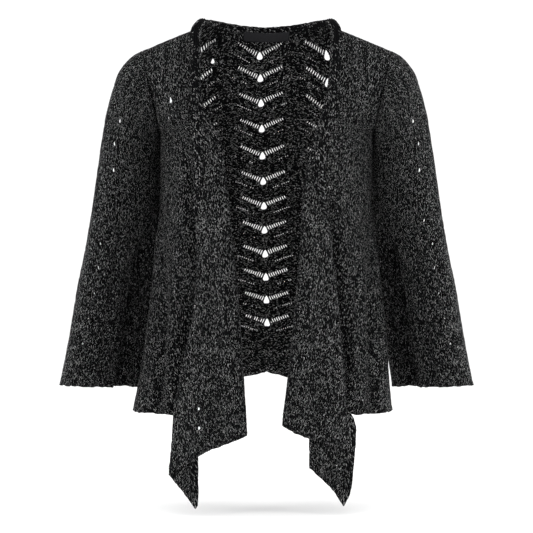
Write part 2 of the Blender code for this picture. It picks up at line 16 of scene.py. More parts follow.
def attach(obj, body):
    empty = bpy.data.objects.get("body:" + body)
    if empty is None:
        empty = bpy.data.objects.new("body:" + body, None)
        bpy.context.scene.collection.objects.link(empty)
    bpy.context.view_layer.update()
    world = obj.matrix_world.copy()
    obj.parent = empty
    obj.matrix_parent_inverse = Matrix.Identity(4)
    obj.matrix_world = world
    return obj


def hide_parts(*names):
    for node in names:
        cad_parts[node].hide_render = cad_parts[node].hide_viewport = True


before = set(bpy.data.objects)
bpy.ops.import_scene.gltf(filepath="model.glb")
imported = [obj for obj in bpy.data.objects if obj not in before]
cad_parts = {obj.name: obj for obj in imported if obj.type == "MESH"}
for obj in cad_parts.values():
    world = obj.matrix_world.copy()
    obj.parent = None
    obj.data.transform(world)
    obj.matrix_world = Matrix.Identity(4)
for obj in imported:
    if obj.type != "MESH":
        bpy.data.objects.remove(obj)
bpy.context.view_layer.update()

MM = 0.001
BAND_WIDTH = 16.0  # ribbed front band
ROLL_ROUND = 5.5  # cloth that turns round the roll before the band starts
NECKBAND_HEIGHT = 12.0
ROWS = 160  # rows that each surface is worked out on
SPLINE_STEPS = 6
FRONT_LENGTH = 612.0  # along the cloth, from the neck to the hem
BACK_LENGTH = 516.0
SLEEVE_LENGTH = 500.0
TINY = 1e-9  # keeps a division by a length from failing

FRONT_POINTS = 11  # controls of each row of a front, from the side seam to the roll
BACK_POINTS = 81
SLEEVE_POINTS = 97

# Armhole: an upright oval on each side of the body.
ARMHOLE_SHARE = 0.26  # share of the body's rows that lie beside it
ARMHOLE_DEPTH = 52.0
ARMHOLE_MIDDLE = -103.5
ARMHOLE_HALF_HEIGHT = 61.5
ARMHOLE_OUT = 172.3
ARMHOLE_SLANT = 13.7
SIDE_HEM = -579.0
TURN_REACH = 1.05  # share of the armhole's rows over which the cloth meets its edge at a slant
TURN_POWER = 0.6

# Neck and shoulder line.
NECK_OUT = 90.0
NECK_TOP = -2.0
NECK_BACK = 64.0
NECK_DROP = 9.0
NECK_ROUND = 0.75  # power of the neck's curve seen from above
SHOULDER_ROUND = 0.11  # share of the rows over which the shoulder rounds over
BACK_HEM = -527.0
BACK_SAG = 0.45  # how much the rows of the back bend between the seams, at the top
FRONT_SAG = 1.5  # the same for a front, at the hem
HEM_FALL_POWER = 2.2  # how late down the front its hem's slope begins

# Chevron lace: its repeat, and where its chevrons lie.
REPEAT_ACROSS = 105.0
REPEAT_DOWN = 38.0
BACK_CHEVRONS = 13
FRONT_FIRST_COURSE = 60.0
SLEEVE_FIRST_COURSE = 58.0
# (course, distance below the neck edge) of the chevrons down the middle of the back
BACK_COURSES = ((0, 28.7), (1, 61.3), (3, 138.3), (4, 180.2), (8, 332.5), (11, 439.0))
BACK_CENTRE = (-11.3, 3.0)  # place of the middle chevrons at the neck and at the hem
FRONT_CENTRE = {"right": (-60.0, -21.0), "left": (-60.0, -25.0)}

# (height, distance from the centre line) down each side seam
SIDE = {
    "right": ((-175, 159), (-264, 157.5), (-354, 166.5), (-459, 178.5), (-541, 192), (-579, 199.5)),
    "left": ((-175, 159), (-264, 156), (-354, 165), (-459, 177), (-541, 184), (-579, 187.5)),
}
# (height, distance behind the centre plane) down the middle of the back
BACK_DEPTH = ((-527, 108), (-459, 99), (-354, 96), (-250, 104), (-165, 103), (-120, 98), (-60, 84), (-11, 64))
# (height, distance in front of the centre plane) down the opening edge
FRONT_DEPTH = (
    (-620, 118), (-500, 113), (-354, 108), (-250, 105), (-165, 96), (-100, 79),
    (-60, 63), (-30, 45), (-14, 30), (-6, 18), (-2.3, 6), (-2, 0.2),
)
# (height, distance from the centre line) down the roll where each front turns back
ROLL = {
    "right": (
        (-2, 90), (-15, 97), (-60, 97), (-121, 94.7), (-143, 88), (-172, 71), (-181, 66),
        (-239, 57.6), (-326, 48.8), (-412, 40.2), (-512, 33), (-606, 27),
    ),
    "left": (
        (-2, 90), (-15, 96), (-60, 94), (-121, 86), (-181, 68), (-254, 53.3), (-326, 48.8),
        (-455, 37.3), (-512, 31.6), (-592, 21.5),
    ),
}
# (height, distance from the centre line) down the outer fold of each flap
FOLD = {
    "right": (
        (-2, 106), (-15, 111), (-121, 109.3), (-235, 106.6), (-355, 101), (-426, 105),
        (-484, 117.7), (-534, 127.7), (-566, 134.2), (-627, 138.5), (-665, 142.8),
    ),
    "left": (
        (-2, 106), (-29, 111), (-121, 100.6), (-167, 91), (-268, 85), (-340, 94.8),
        (-412, 103.3), (-556, 113.8), (-600, 121), (-630, 122.4),
    ),
}
# (height, distance of the flap in front of the body part of the same front)
FLAP_GAP = ((-620, 24.5), (-500, 22.5), (-412, 19.5), (-268, 13.5), (-167, 9.5), (-100, 8), (-2, 7.5))
# (height of the roll, length of cloth past the outer fold)
PAST_FOLD = {
    "right": ((-2, -1), (-230, -1), (-262, 6), (-290, 18), (-355, 25), (-426, 33), (-484, 42), (-530, 80)),
    "left": ((-2, -1), (-230, -1), (-262, 6), (-290, 18), (-340, 30), (-412, 52), (-470, 110), (-500, 190)),
}
HEM_AT_ROLL = {"right": -606.0, "left": -592.0}
# How far the hem falls below its height at the roll: (place along the flap, fall)
FLAP_FALL = {
    "right": ((0.25, 13), (0.5, 21.5), (0.75, 42), (1, 59)),
    "left": ((0.25, 14.6), (0.5, 22.4), (0.75, 30.3), (1, 38)),
}
# Layers tucked behind the flap: (distance out at the hem, fall, layer), layer 1 next to the flap
TUCK = {
    "right": ((120, 82, 1), (98.5, 107, 1)),
    "left": ((92, 49, 1), (60.5, 61, 1), (60.5, 61, 2), (92, 88, 2), (116, 118, 1.6)),
}
LAYER = 7.5  # depth from one layer to the next
# (height of the roll, distance of the free edge from the centre line, when it hangs behind the flap)
FREE_EDGE = {
    "right": ((-606, 102.5), (-601, 99), (-596, 98.5), (-2, 98.5)),
    "left": (
        (-592, 111), (-580, 120.5), (-562, 125), (-533, 128.5), (-515, 130), (-503, 127), (-488, 110),
        (-478, 103), (-412, 98), (-340, 90), (-268, 80), (-167, 85), (-2, 100),
    ),
}
# (out, up) from the base of the neck: how the band stands and rolls over at the shoulder
COLLAR_ROLL = ((-1.5, 3.5), (0.5, 8), (7, 9.5), (14, 6))
COLLAR_PAST = ((14, 3), (4, -4))  # out and up of the controls past that: (first, change for each)
COLLAR_AHEAD = 2.4
COLLAR_SHARE = 0.035  # share of the rows over which the band stands up at the shoulder

# Sleeve: (share of its length, out, height) of its outer line and of its inner line
SLEEVE_OUTER = (
    (0, 186.5, -42), (0.017, 195, -46.5), (0.037, 204, -52.5), (0.095, 222, -76.5), (0.136, 229, -97),
    (0.178, 235, -118), (0.22, 240, -139), (0.38, 253, -222), (0.502, 262, -285), (0.625, 273, -348),
    (0.707, 282, -390), (0.87, 296, -474), (1, 309, -541),
)
SLEEVE_INNER = ((0, 159.6, -165.5), (0.15, 158.2, -206), (0.4, 159.6, -292), (0.7, 173.6, -418), (1, 192.5, -546))
SLEEVE_BEHIND = 38.0  # how far behind the side seam its inner line hangs
SLEEVE_BEHIND_FROM = 0.22  # share of its length by which it does
SLEEVE_TUCK = 26.0  # depth to which the inner quarter of its front falls back, beside the body
SLEEVE_TUCK_ROWS = (0.36, 0.66)  # shares of its length between which the tuck deepens
SLEEVE_TUCK_TURN = (84.0, 126.0)  # degrees round from the outer line between which the front falls back
SLEEVE_TUCK_END = 58.0  # degrees before the inner line over which it comes back
# (share of its length, half of its depth)
SLEEVE_DEPTH = ((0, 52.5), (0.2, 55), (0.6, 57), (1, 61))
CUFF_BEHIND = 6.0

LABEL_HALF = 35.0
LABEL_TALL = 13.5
LABEL_ABOVE = 4.0  # part of the label that lies over the neckband
LABEL_SLOPE = (0.25, 0.33)  # how far it leans out for each millimetre down: on the band, below it
LABEL_CLEAR = 0.9
LABEL_WALL = 0.6

# Soft folds: (centre, half width, lift at the hem, share of the rows where it starts)
FRONT_FOLDS = {
    "right": ((-186, 20, 7, 0.3), (-140, 17, -6, 0.35), (-108, 12, 4, 0.55)),
    "left": ((-172, 19, 6, 0.32), (-132, 15, -6, 0.4), (-104, 12, 5, 0.5)),
}
BACK_FOLDS = (
    (-128, 24, 7, 0.45), (-84, 20, -5, 0.5), (-46, 18, 5, 0.6), (4, 22, -6, 0.66), (52, 19, 5, 0.5),
    (92, 22, -6, 0.55), (134, 21, 6, 0.42),
)
SLEEVE_FOLDS = (
    (-150, 22, 5, 0.35), (-104, 18, -5, 0.45), (-58, 20, 4, 0.3), (-12, 16, -3, 0.6),
    (40, 22, 5, 0.5), (86, 18, -4, 0.4), (132, 20, 5, 0.55),
)

FOLD_GROWTH = 1.3  # power by which a soft fold grows towards the hem
FOLD_FADE = 40.0  # length over which it dies out before a seam

OUTWARD = {"right": -1.0, "left": 1.0}  # the wearer's right lies at -X


def along(table, at):
    """Monotone cubic curve through (place, value) rows."""
    rows = np.array(table, float)
    rows = rows[np.argsort(rows[:, 0])]
    place, value = rows[:, 0], rows[:, 1]
    step = np.diff(place)
    slope = np.diff(value) / step
    lean = np.zeros(len(place))
    both = slope[:-1] * slope[1:]
    lean[1:-1] = np.where(both > 0, 2 * both / np.where(both > 0, slope[:-1] + slope[1:], 1), 0)
    lean[0], lean[-1] = slope[0], slope[-1]
    at = np.clip(at, place[0], place[-1])
    k = np.clip(np.searchsorted(place, at, side="right") - 1, 0, len(step) - 1)
    t = (at - place[k]) / step[k]
    return (
        value[k] * (1 + 2 * t) * (1 - t) ** 2
        + value[k + 1] * t * t * (3 - 2 * t)
        + lean[k] * step[k] * t * (1 - t) ** 2
        - lean[k + 1] * step[k] * t * t * (1 - t)
    )


def smooth(value, low, high):
    """Soft step from 0 at the low value to 1 at the high one."""
    share = np.clip((value - low) / (high - low), 0, 1)
    return share * share * (3 - 2 * share)


def unit(vectors):
    """Vectors along the last axis, at length 1."""
    return vectors / np.maximum(np.linalg.norm(vectors, axis=-1), TINY)[..., None]


def side_seam(side, row):
    """Edge that the front and back share: out, half depth and height at a share of the rows."""
    if row < ARMHOLE_SHARE:
        turn = math.pi * row / ARMHOLE_SHARE
        return (
            ARMHOLE_OUT + ARMHOLE_SLANT * math.cos(turn),
            ARMHOLE_DEPTH * math.sin(turn),
            ARMHOLE_MIDDLE + ARMHOLE_HALF_HEIGHT * math.cos(turn),
        )
    low = ARMHOLE_MIDDLE - ARMHOLE_HALF_HEIGHT
    height = low + (SIDE_HEM - low) * (row - ARMHOLE_SHARE) / (1 - ARMHOLE_SHARE)
    return float(along(SIDE[side], height)), 0.0, height


def side_turn(row):
    """Power that makes a row meet a side seam at a right angle, and an armhole at a slant."""
    return 1.0 + max(0.0, 1.0 - row / (ARMHOLE_SHARE * TURN_REACH)) ** TURN_POWER


def spline(controls):
    """Points of the uniform cubic B-spline of a control polygon, from its first to its last point."""
    c = np.vstack([2 * controls[0] - controls[1], controls, 2 * controls[-1] - controls[-2]])
    t = np.linspace(0, 1, SPLINE_STEPS, endpoint=False)[:, None, None]
    a, b, d, e = c[:-3], c[1:-2], c[2:-1], c[3:]
    curve = (
        (1 - t) ** 3 * a + (3 * t**3 - 6 * t**2 + 4) * b
        + (-3 * t**3 + 3 * t**2 + 3 * t + 1) * d + t**3 * e
    ) / 6
    return np.vstack([curve.transpose(1, 0, 2).reshape(-1, 3), controls[-1]])


def lengths(points):
    """Distance from the first point to each point of a path."""
    return np.concatenate([[0], np.cumsum(np.linalg.norm(np.diff(points, axis=0), axis=1))])


def lifted(surface, folds):
    """Adds soft folds to a surface: each rises outwards, from nothing to its lift at the hem."""
    for row, points in enumerate(surface["points"]):
        share = row / ROWS
        arc = surface["arc"][row]
        lift = np.zeros(len(arc))
        for middle, half, height, start in folds:
            grow = max(0.0, (share - start) / (1 - start)) ** FOLD_GROWTH
            lift += height * grow * np.exp(-(((arc - middle) / half) ** 2))
        tangent = np.gradient(points[:, :2], axis=0)
        normal = unit(np.stack([tangent[:, 1], -tangent[:, 0]], 1))
        ends = np.minimum(1, np.minimum(arc - arc[0], arc[-1] - arc) / FOLD_FADE)
        points[:, :2] -= normal * (lift * ends)[:, None]


def front_surface(side):
    """Front panel with its roll, flap and tucked layers. Lengths run from the roll, towards the flap."""
    points, arcs, ends = [], [], []
    fall = np.array([(0, 0)] + list(FLAP_FALL[side]), float)
    for step in range(ROWS + 1):
        row = step / ROWS
        out, half, height = side_seam(side, row)
        roll_z = NECK_TOP + (HEM_AT_ROLL[side] - NECK_TOP) * row
        roll_x = along(ROLL[side], roll_z)
        depth = -along(FRONT_DEPTH, roll_z)
        gap = along(FLAP_GAP, roll_z)
        power = side_turn(row)
        drop = row**HEM_FALL_POWER
        turn = np.radians(np.linspace(90, 0, FRONT_POINTS))
        share = 1 - np.sin(turn)
        body = np.stack([
            roll_x + (out - roll_x) * np.sin(turn),
            -half + (depth + half) * np.cos(turn) ** power,
            height + (roll_z - height) * share ** (1 + FRONT_SAG * row),
        ], 1)

        def depth_at(x):
            sine = np.clip((x - roll_x) / (out - roll_x), 0, 1)
            return -half + (depth + half) * (1 - sine**2) ** (power / 2)

        fold_x = along(FOLD[side], roll_z - fall[-1, 1] * drop)
        flap = []
        for place, low in fall:
            x = roll_x + (fold_x - roll_x) * place
            flap.append((x, depth_at(x) - gap, roll_z - low * drop))
        tucked = [(fold_x, depth_at(fold_x) - gap + LAYER, roll_z - fall[-1, 1] * drop)]
        for x, low, layer in TUCK[side]:
            if x > fold_x:
                x += fold_x - along(FOLD[side], HEM_AT_ROLL[side] - fall[-1, 1])
            if low == TUCK[side][-1][1]:
                x = along(FREE_EDGE[side], roll_z)
            tucked.append((x, depth_at(x) - gap + LAYER * layer, roll_z - low * drop))
        upper = np.array(flap + tucked)
        stand = max(0.0, 1 - row / COLLAR_SHARE) ** 2
        past = np.arange(len(upper) - len(COLLAR_ROLL)) + 1.0
        lean = np.array(COLLAR_ROLL + tuple([start + change * k for start, change in COLLAR_PAST] for k in past))
        ahead = np.full(len(upper), depth - COLLAR_AHEAD)
        upright = np.stack([roll_x + lean[:, 0], ahead, roll_z + lean[:, 1]], 1)
        upper = upper * (1 - stand) + upright * stand
        path = spline(np.vstack([body, upper]))
        arc = lengths(path)
        roll_at = arc[int((len(body) - 0.5) * SPLINE_STEPS)]
        fold_at = arc[int((len(body) + len(flap) - 1) * SPLINE_STEPS)]
        end = min(fold_at + along(PAST_FOLD[side], roll_z), arc[-1]) - roll_at
        shortest = BAND_WIDTH + ROLL_ROUND
        end = max(end, shortest) if row > COLLAR_SHARE else shortest
        points.append(path)
        arcs.append(arc - roll_at)
        ends.append(end)
    surface = {"points": points, "arc": arcs, "mirrored": side == "right"}
    lifted(surface, FRONT_FOLDS[side])
    surface["first"] = np.array([a[0] for a in arcs])
    surface["last"] = np.array(ends)
    for path in points:
        path[:, 0] *= OUTWARD[side]
    surface["tall"] = FRONT_LENGTH
    return surface


def neck_curve(x):
    """Depth and height of the back neck edge."""
    inner = np.clip(1 - (x / NECK_OUT) ** 2, 0, 1)
    return NECK_BACK * inner**NECK_ROUND, NECK_TOP - NECK_DROP * inner


def back_surface():
    """Back panel. Lengths run from its centre line, towards the wearer's left."""
    points, arcs = [], []
    centre = BACK_POINTS // 2
    for step in range(ROWS + 1):
        row = step / ROWS
        middle = NECK_TOP - NECK_DROP + (BACK_HEM - NECK_TOP + NECK_DROP) * row
        depth = along(BACK_DEPTH, middle)
        power = side_turn(row)
        turn = np.radians(np.linspace(-90, 90, BACK_POINTS))
        path = []
        for side, part in (("right", turn[:centre + 1]), ("left", turn[centre + 1:])):
            out, half, height = side_seam(side, row)
            share = 1 - np.abs(np.sin(part))
            path.append(np.stack([
                out * np.sin(part),
                half + (depth - half) * np.cos(part) ** power,
                height + (middle - height) * share ** (1 - BACK_SAG * (1 - row)),
            ], 1))
        path = np.vstack(path)
        if step == 0:
            x = path[:, 0]
            y, z = neck_curve(x)
            seam_out, _, seam_top = side_seam("left", 0)
            line = NECK_TOP + (seam_top - NECK_TOP) * (np.abs(x) - NECK_OUT) / (seam_out - NECK_OUT)
            top = np.stack([x, np.maximum(y, 0.0), np.where(np.abs(x) > NECK_OUT, line, z)], 1)
            change = top - path
        close = max(0.0, 1 - row / SHOULDER_ROUND)
        path[:, 1] += change[:, 1] * (1 - math.sqrt(1 - close**2))
        path[:, 2] += change[:, 2] * close**2
        arc = lengths(path)
        points.append(path)
        arcs.append(arc - arc[centre])
    surface = {"points": points, "arc": arcs, "mirrored": False}
    lifted(surface, BACK_FOLDS)
    surface["first"] = np.array([a[0] for a in arcs])
    surface["last"] = np.array([a[-1] for a in arcs])
    surface["tall"] = BACK_LENGTH
    return surface


def sleeve_surface(side):
    """Sleeve tube. Lengths run round it from its outer line, towards the back."""
    outer = np.array(SLEEVE_OUTER)
    inner = np.array(SLEEVE_INNER)
    points, arcs = [], []
    middle = SLEEVE_POINTS // 2
    turn = np.linspace(-math.pi, math.pi, SLEEVE_POINTS)
    for step in range(ROWS + 1):
        t = step / ROWS
        top = np.array([along(outer[:, [0, 1]], t), 0, along(outer[:, [0, 2]], t)])
        low = np.array([along(inner[:, [0, 1]], t), 0, along(inner[:, [0, 2]], t)])
        deep = np.array([0, along(SLEEVE_DEPTH, t), 0])
        ring = (
            (top + low) / 2
            + np.cos(turn)[:, None] * (top - low) / 2
            + np.sin(turn)[:, None] * deep
            + np.array([0, CUFF_BEHIND * t, 0])
        )
        behind = SLEEVE_BEHIND * min(1.0, t / SLEEVE_BEHIND_FROM)
        ring[:, 1] += behind * (1 - np.cos(turn)) / 2
        round_front = np.degrees(-turn)
        tucked = smooth(t, *SLEEVE_TUCK_ROWS) * smooth(round_front, *SLEEVE_TUCK_TURN)
        tucked *= smooth(180.0 - round_front, 0.0, SLEEVE_TUCK_END)
        ring[:, 1] += (SLEEVE_TUCK - ring[:, 1]) * tucked
        arc = lengths(ring)
        points.append(ring)
        arcs.append(arc - arc[middle])
    surface = {"points": points, "arc": arcs, "mirrored": side == "left"}
    for half in (slice(0, middle + 1), slice(middle, SLEEVE_POINTS)):
        lifted({"points": [p[half] for p in points], "arc": [a[half] for a in arcs]}, SLEEVE_FOLDS)
    surface["first"] = np.array([a[0] for a in arcs])
    surface["last"] = np.array([a[-1] for a in arcs])
    for ring in points:
        ring[:, 0] *= OUTWARD[side]
    surface["tall"] = SLEEVE_LENGTH
    return surface


def place(surface, across, row):
    """Points of a surface at lengths along its rows and at shares of its rows."""
    across, row = np.asarray(across, float), np.asarray(row, float)
    at = np.clip(row, 0, 1) * ROWS
    low = np.minimum(at.astype(int), ROWS - 1)
    result = np.zeros((len(across), 3))
    for k in np.unique(low):
        here = low == k
        for end, weight in ((k, 1 - (at[here] - k)), (k + 1, at[here] - k)):
            arc, path = surface["arc"][end], surface["points"][end]
            for axis in range(3):
                result[here, axis] += weight * np.interp(across[here], arc, path[:, axis])
    return result


def edge(values, row):
    """Length across at which an edge lies, at shares of the rows."""
    return np.interp(np.asarray(row, float) * ROWS, np.arange(ROWS + 1), values)


def add_to_scene(name, data):
    made = bpy.data.objects.new(name, data)
    bpy.context.scene.collection.objects.link(made)
    return made


def grid_faces(rows, columns):
    """Quads of a grid of points, one row after another."""
    at = np.arange(rows * columns).reshape(rows, columns)
    return np.stack([at[:-1, :-1], at[:-1, 1:], at[1:, 1:], at[1:, :-1]], -1).reshape(-1, 4)


# ---------------------------------------------------------------- knit and lace
KNIT_WALL = 2.0
RELIEF = ((7.5, 1, 0.6), (3.4, 2, 0.8))  # (size, seed, share) of the cloth's own unevenness
WELD = 0.15  # distance at which the two edges of a tube become one
PANEL_RELIEF = 0.5
RIB_RELIEF = 0.45
CELL = 3.2  # distance of the points that shape the cloth
WALE = 3.35  # width of one stitch of the lace
STITCH_WIDE = 1.6
STITCH_TALL = 1.85
UV_SCALE = 0.01  # unit of the stitch coordinates for each millimetre
UV_UNIT = 1 / UV_SCALE
CHEVRON_SLOPE = 0.52
HEM_CLEAR = 30.0  # cloth without large holes above a hem
CAST_OFF = 7.0  # height of the thicker edge at a hem or a cuff
CAST_OFF_KNOTS = 1.3  # how far its stitches stand out along the cloth
CAST_OFF_LIFT = (0.5, 0.7)  # how far they stand out from it: all of them, and one more than another
CAST_OFF_SIZE = 5.2
KNOT_SIZE = 4.4
RIB_KNOTS = 0.8
RIB_KNOTS_FROM = 0.86  # share of a band's width where they begin
CREST_START = 34.0
CREST_BEND = CHEVRON_SLOPE / (REPEAT_ACROSS - 2 * CREST_START)
SLITS = 9
SLIT_WIDE = 1.4
SLIT_TALL = (6.8, 4.2)  # next to the large hole and at the end of the arm
SLIT_LEAN = 0.5
SLIT_VARIES = (0.8, 0.35)  # least share of that height, and how much chance adds
FIRST_SLIT = 6.0
DOTS_BELOW = 17.5
COLUMNS = range(-5, 6)  # chevrons beside one another, counted from the middle
DOTS = range(3, 12)  # stitches out from the middle where a dot may lie
DOT = 1.05
DOT_TALL = 1.7  # times its width
DOT_SKIPPED = 0.35  # share of the dots that stay closed
APEX_WIDE, APEX_TALL, APEX_LOW = 10.0, 11.5, 0.1
TOP_CLEAR, FOOT_CLEAR, SIDE_CLEAR = 6.0, 9.0, 4.0
EXTRA_CLEAR = 9.0  # cloth round a larger hole, and along a roll
HOLE_MARGIN = 0.9  # distance of the cloth's points from a hole
EDGE_MARGIN = 0.45  # share of their spacing that they keep from an edge
APEX = ((0, -0.62), (0.24, -0.36), (0.42, -0.02), (0.46, 0.2), (0.3, 0.38), (0, 0.42),
        (-0.3, 0.38), (-0.46, 0.2), (-0.42, -0.02), (-0.24, -0.36))


def rise(distance):
    """Height of a course above the foot of its chevron, at a distance from the chevron's middle."""
    d = np.abs(distance)
    return CHEVRON_SLOPE * d - CREST_BEND * np.maximum(0, d - CREST_START) ** 2


def chevron_phase(across, centre):
    """Distance from the nearest chevron's middle."""
    return (across - centre + REPEAT_ACROSS / 2) % REPEAT_ACROSS - REPEAT_ACROSS / 2


def slit(across, down, wide, tall, lean):
    """Six corners of a slit whose top leans by a share of its height."""
    shape = ((0, -0.5), (0.5, -0.3), (0.5, 0.3), (0, 0.5), (-0.5, 0.3), (-0.5, -0.3))
    return [(across + dx * wide + lean * dy * tall, down + dy * tall) for dx, dy in shape]


def apex(across, down, wide, tall):
    """Outline of the large hole at the foot of a chevron, at shares of its full width and height."""
    return [(across + dx * APEX_WIDE * wide, down + (dy + APEX_LOW) * APEX_TALL * tall) for dx, dy in APEX]


def lace_holes(surface, first, last, centre, courses, size=1.0, dots=True, avoid=(), sway=0.0, extra=()):
    """Outlines (across, down) of every hole of the chevron lace that is clear of the edges."""
    tall = surface["tall"]
    holes = []
    opened = np.random.default_rng(7)
    swayed = np.random.default_rng(23)

    def near_extra(middle, down):
        return any(abs(middle - u) < EXTRA_CLEAR and abs(down - v) < EXTRA_CLEAR for u, v, _, _ in extra)

    def add(outline):
        points = np.array(outline)
        row = points[:, 1] / tall
        if row.min() < TOP_CLEAR / tall or row.max() > 1 - FOOT_CLEAR / tall:
            return
        middle = points[:, 0].mean()
        if near_extra(middle, points[:, 1].mean()):
            return
        if any(abs(middle - edge(line, row.mean())) < EXTRA_CLEAR for line in avoid):
            return
        inside = (points[:, 0] > edge(first, row) + SIDE_CLEAR) & (points[:, 0] < edge(last, row) - SIDE_CLEAR)
        if inside.all():
            holes.append(points)

    for down in courses:
        for k in COLUMNS:
            row = down / tall
            across = centre[0] + (centre[1] - centre[0]) * row + k * REPEAT_ACROSS
            across += sway * float(swayed.uniform(-1, 1))
            if down > tall - HEM_CLEAR:
                continue
            add(apex(across, down, size, size))
            for n in range(SLITS):
                share = n / (SLITS - 1)
                out = FIRST_SLIT + WALE * n
                high = SLIT_TALL[0] + (SLIT_TALL[1] - SLIT_TALL[0]) * share
                for way in (-1, 1):
                    high_here = high * size * (SLIT_VARIES[0] + SLIT_VARIES[1] * opened.random())
                    add(slit(across + way * out, down - rise(out), SLIT_WIDE * size, high_here, way * SLIT_LEAN))
            if not dots:
                continue
            for n in DOTS:
                out = FIRST_SLIT + WALE * n
                for way in (-1, 1):
                    if opened.random() < DOT_SKIPPED:
                        continue
                    add(slit(across + way * out, down + DOTS_BELOW - rise(out), DOT, DOT * DOT_TALL, 0.0))
    return holes + [np.array(apex(*hole)) for hole in extra]


def cloth_flat(surface, first, last, holes, top_marks=()):
    """Triangulates a panel flat, with its holes cut out: across, share of rows, faces."""
    tall = surface["tall"]
    count = int(round(tall / CELL))
    rows = np.linspace(0, 1, count + 1)
    left, right = edge(first, rows), edge(last, rows)
    flat, links = [], []

    def loop(points):
        start = len(flat)
        flat.extend(points)
        ids = list(range(start, len(flat)))
        links.extend(zip(ids, ids[1:] + ids[:1]))

    def ticks(a, b):
        return np.linspace(a, b, max(2, int(round((b - a) / CELL)) + 1))

    top = [(u, 0.0) for u in sorted(set(ticks(left[0], right[0])) | set(top_marks))]
    bottom = [(u, 1.0) for u in ticks(left[-1], right[-1])][::-1]
    loop(top + list(zip(right[1:-1], rows[1:-1])) + bottom + list(zip(left[1:-1], rows[1:-1]))[::-1])
    owner = [-1] * len(flat)
    middles, reach = [], []
    for k, hole in enumerate(holes):
        loop([(u, d / tall) for u, d in hole])
        owner += [k] * len(hole)
        middles.append(hole.mean(axis=0))
        reach.append(np.ptp(hole, axis=0) / 2 + HOLE_MARGIN)
    middles, reach = np.array(middles), np.array(reach)
    for k in range(1, count):
        a, b = left[k] + EDGE_MARGIN * CELL, right[k] - EDGE_MARGIN * CELL
        if b <= a:
            continue
        own = (np.arange(math.ceil(a / CELL), b / CELL) + (0.5 if k % 2 else 0.0)) * CELL
        own = own[(own > a) & (own < b)]
        if len(holes):
            down = rows[k] * tall
            close = np.abs(middles[:, 1] - down) < reach[:, 1]
            if close.any():
                aside = np.abs(own[:, None] - middles[close, 0]) / reach[close, 0]
                below = (down - middles[close, 1]) / reach[close, 1]
                own = own[(aside**2 + below**2).min(axis=1) > 1]
        flat.extend((u, rows[k]) for u in own)
    owner += [-1] * (len(flat) - len(owner))
    plane = [Vector((u, r * tall)) for u, r in flat]
    verts, _, faces, origin, _, _ = delaunay_2d_cdt(plane, links, [], 0, 1e-5)
    across = np.array([v[0] for v in verts])
    row = np.array([v[1] for v in verts]) / tall
    belongs = np.array([owner[o[0]] if o else -1 for o in origin])
    faces = np.array([f for f in faces if len(f) == 3])
    own = belongs[faces]
    in_hole = (own[:, 0] >= 0) & (own[:, 0] == own[:, 1]) & (own[:, 1] == own[:, 2])
    u, r = across[faces].mean(axis=1), row[faces].mean(axis=1)
    outside = (u < edge(first, r)) | (u > edge(last, r))
    return across, row, faces[~in_hole & ~outside]


def bumps(points, size, seed):
    """Smooth repeatable noise between -1 and 1 for many points at once, hashed from the cells they lie in."""
    at = points / size + seed * 17.31
    low = np.floor(at).astype(np.int64)
    part = at - low
    part = part * part * (3 - 2 * part)
    total = np.zeros(len(points))
    for corner in range(8):
        step = np.array([corner & 1, corner >> 1 & 1, corner >> 2 & 1])
        cell = low + step
        mixed = (cell[:, 0] * 73856093) ^ (cell[:, 1] * 19349663) ^ (cell[:, 2] * 83492791)
        value = ((mixed * 2654435761) % 4294967296) / 2147483648.0 - 1
        weight = np.prod(np.where(step, part, 1 - part), axis=1)
        total += value * weight
    return total


CREASE_GROWS = 0.45  # share of a crease's run over which it deepens
CREASE_FADES = 0.08  # share of the rows over which it ends


def crease_lift(creases, across, row):
    """Height of listed troughs and ridges, each from its place at the top to that at its foot."""
    lift = np.zeros(len(across))
    for top, foot, start, end, half, depth in creases:
        share = np.clip((row - start) / (end - start), 0, 1)
        line = top + (foot - top) * share
        grow = np.sin(np.pi / 2 * np.clip((row - start) / (CREASE_GROWS * (end - start)), 0, 1)) ** 2
        gone = np.clip((row - end) / CREASE_FADES + 1, 0, 1) if end < 1 else 0.0
        lift += depth * grow * np.cos(np.pi / 2 * gone) ** 2 * np.exp(-(((across - line) / half) ** 2))
    return lift


def make_piece(name, verts, faces, uv, thickness, materials, nodes, relief=0.0, weld=False):
    """A cloth object in place of its solids: a thin shell, with stitch coordinates as its UV map."""
    mesh = bpy.data.meshes.new(name)
    mesh.from_pydata([tuple(p) for p in verts * MM], [], [tuple(int(i) for i in f) for f in faces])
    layer = mesh.uv_layers.new(name="stitches")
    loops = np.zeros(len(mesh.loops), dtype=np.int64)
    mesh.loops.foreach_get("vertex_index", loops)
    layer.data.foreach_set("uv", (uv[loops] * UV_SCALE).astype(np.float32).ravel())
    bm = bmesh.new()
    bm.from_mesh(mesh)
    bmesh.ops.delete(bm, geom=[v for v in bm.verts if not v.link_faces], context="VERTS")
    if weld:
        bmesh.ops.remove_doubles(bm, verts=bm.verts, dist=WELD * MM)
    bm.to_mesh(mesh)
    bm.free()
    if relief:
        mesh.update()
        count = len(mesh.vertices)
        co = np.zeros(count * 3)
        normal = np.zeros(count * 3)
        mesh.vertices.foreach_get("co", co)
        mesh.vertices.foreach_get("normal", normal)
        co = co.reshape(-1, 3)
        lift = sum(bumps(co / MM, size, seed) * share for size, seed, share in RELIEF)
        co += normal.reshape(-1, 3) * (lift * relief * MM)[:, None]
        mesh.vertices.foreach_set("co", co.ravel())
    for polygon in mesh.polygons:
        polygon.use_smooth = True
    for material in materials:
        mesh.materials.append(material)
    made = add_to_scene(name, mesh)
    wall = made.modifiers.new("wall", "SOLIDIFY")
    wall.thickness = thickness * MM
    wall.offset = 0.0
    wall.material_offset = len(materials) - 1
    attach(made, "root")
    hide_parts(*nodes)
    return made


